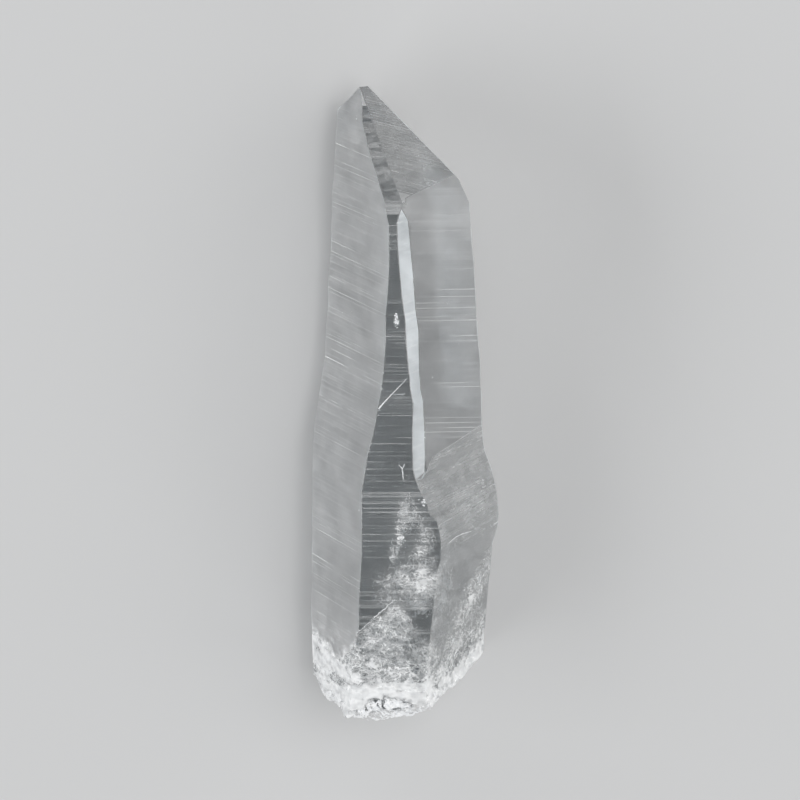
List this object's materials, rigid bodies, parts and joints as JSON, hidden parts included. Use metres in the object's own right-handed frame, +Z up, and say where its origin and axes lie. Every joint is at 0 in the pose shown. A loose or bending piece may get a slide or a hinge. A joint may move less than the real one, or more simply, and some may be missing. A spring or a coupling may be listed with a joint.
{
  "type": "lemurian quartz crystal",
  "caption": "Single tapering quartz point with ladder-like growth lines on its sides, a slanting faceted tip and a rough broken base, lying on its broad back face.",
  "frame": {"origin": "middle of the bounding box, on the surface that the crystal lies on", "axes": "+Y runs along the crystal towards its tip, +Z is up, away from the broad back face that it lies on, and +X is to the right when the tip points away"},
  "size_m": [0.0288, 0.0968, 0.0205],
  "materials": {
    "quartz": "clear quartz with a satin, finely striated skin"
  },
  "bodies": {
    "root": {"crystal": "quartz"}
  },
  "joints": []
}
